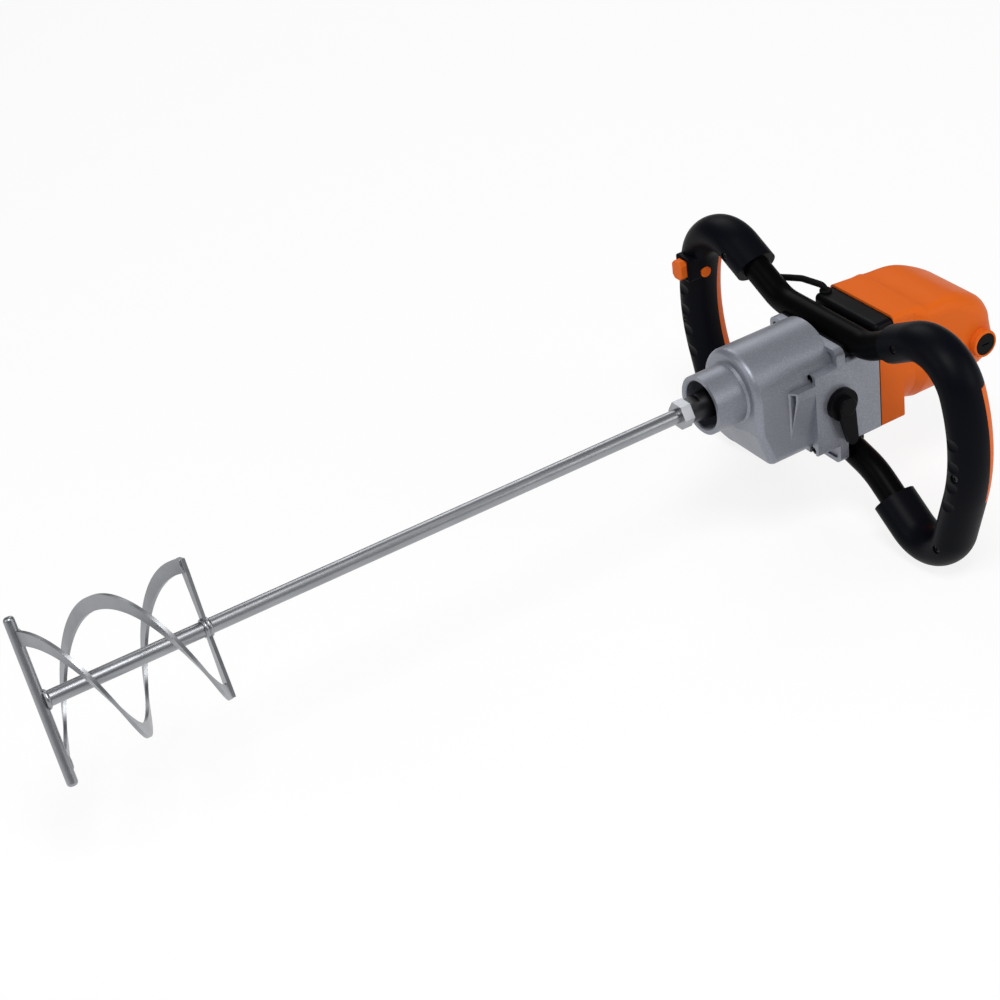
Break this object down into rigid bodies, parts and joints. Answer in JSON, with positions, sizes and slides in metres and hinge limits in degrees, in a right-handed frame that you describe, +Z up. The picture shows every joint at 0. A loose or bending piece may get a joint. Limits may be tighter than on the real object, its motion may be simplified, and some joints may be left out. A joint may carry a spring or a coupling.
{
  "type": "mixing drill",
  "caption": "Two-handed mixing drill: orange motor, grey two-speed gearbox with clamping neck, black ring grips with trigger and lock button, and a helix stirring paddle.",
  "frame": {"origin": "centre of the clamping neck's front edge, on the spindle axis", "axes": "+X from the neck back to the motor, +Z up with the tool level, right grip at -Y"},
  "size_m": [0.9135, 0.405, 0.2328],
  "materials": {
    "cast": "fine cast, satin",
    "bearing_steel": "ground",
    "screw_steel": "black oxide",
    "black_rubber": "matt",
    "spindle_steel": "black oxide, oiled",
    "gear_steel": "machined",
    "zinc_steel": "zinc plated",
    "orange": "fine moulded grain",
    "black_plastic": "fine moulded grain",
    "black_soft": "soft touch",
    "black_paint": "satin black",
    "laminations": "stacked sheet",
    "copper": "enamelled",
    "carbon": "matt carbon"
  },
  "bodies": {
    "housing": {"armature_bearings": "bearing_steel", "bar_screws": "screw_steel", "brush_caps": "black_plastic", "brush_holders": "black_plastic", "carbon_brushes": "carbon", "case_screws": "screw_steel", "cord_inlet": "black_rubber", "countershaft_bearings": "bearing_steel", "fan_baffle": "black_plastic", "field_coils": "copper", "fork_rail": "gear_steel", "gear_case": "cast", "gearbox_back": "cast", "grip_screws": "screw_steel", "lead": "black_rubber", "lead_gland": "black_rubber", "left_grip_front": "black_soft", "left_grip_panel": "orange", "left_grip_rear": "black_soft", "lower_saddle": "black_plastic", "lower_tube": "black_paint", "motor_shell": "orange", "right_grip_front": "black_soft", "right_grip_panel": "orange", "right_grip_rear": "black_soft", "seam_plate": "black_plastic", "spindle_front_bearing": "bearing_steel", "spindle_rear_bearing": "bearing_steel", "spindle_seal": "black_rubber", "stator_core": "laminations", "switch_body": "black_plastic", "terminal_cover": "black_plastic", "upper_saddle": "black_plastic", "upper_tube": "black_paint"},
    "spindle": {"spindle": "spindle_steel", "spindle_circlip": "spindle_steel", "low_gear": "gear_steel", "paddle_rod": "zinc_steel", "paddle_nut": "zinc_steel", "crossbar": "zinc_steel", "helix_blade_a": "zinc_steel", "helix_blade_b": "zinc_steel", "rear_spoke": "zinc_steel"},
    "high_gear": {"high_gear": "gear_steel"},
    "dog_sleeve": {"dog_sleeve": "gear_steel"},
    "shift_fork": {"shift_fork": "gear_steel"},
    "countershaft": {"countershaft": "gear_steel", "low_pinion": "gear_steel", "high_pinion": "gear_steel", "reduction_gear": "gear_steel"},
    "armature": {"armature_shaft": "gear_steel", "armature_pinion": "gear_steel", "armature_core": "laminations", "armature_windings": "copper", "commutator": "copper", "cooling_fan": "black_plastic"},
    "selector": {"selector_knob": "black_plastic", "selector_shaft": "gear_steel"},
    "trigger": {"trigger": "orange"},
    "lock_button": {"lock_button": "orange"}
  },
  "joints": [
    {"name": "spindle_spin", "type": "hinge", "parent": "housing", "child": "spindle", "pos_m": [0, 0, 0], "axis": [1, 0, 0], "continuous": true},
    {"name": "high_gear_spin", "type": "hinge", "parent": "housing", "child": "high_gear", "pos_m": [0, 0, 0], "axis": [1, 0, 0], "continuous": true},
    {"name": "countershaft_spin", "type": "hinge", "parent": "housing", "child": "countershaft", "pos_m": [0, 0.01606, -0.04204], "axis": [1, 0, 0], "continuous": true},
    {"name": "armature_spin", "type": "hinge", "parent": "housing", "child": "armature", "pos_m": [0, 0, -0.027], "axis": [1, 0, 0], "continuous": true},
    {"name": "sleeve_shift", "type": "slide", "parent": "spindle", "child": "dog_sleeve", "axis": [1, 0, 0], "range_m": [0, 0.00618]},
    {"name": "fork_shift", "type": "slide", "parent": "housing", "child": "shift_fork", "axis": [1, 0, 0], "range_m": [0, 0.00618]},
    {"name": "selector_turn", "type": "hinge", "parent": "housing", "child": "selector", "pos_m": [0.114, -0.046, -0.025], "axis": [0, -1, 0], "range_deg": [0, 150]},
    {"name": "trigger_press", "type": "slide", "parent": "housing", "child": "trigger", "axis": [1, 0, 0], "range_m": [0, 0.006], "stiffness_N_per_m": 900, "springref_m": -0.004},
    {"name": "lock_press", "type": "slide", "parent": "housing", "child": "lock_button", "axis": [0, 1, 0], "range_m": [0, 0.0025], "stiffness_N_per_m": 500, "springref_m": -0.004}
  ],
  "couplings": [
    {"joint": "high_gear_spin", "follows": "spindle_spin", "ratio": 1.5556},
    {"joint": "countershaft_spin", "follows": "spindle_spin", "ratio": -2.3333},
    {"joint": "armature_spin", "follows": "spindle_spin", "ratio": 12.333},
    {"joint": "sleeve_shift", "follows": "fork_shift", "ratio": 1},
    {"joint": "selector_turn", "follows": "fork_shift", "rad_per_m": 423.49}
  ]
}
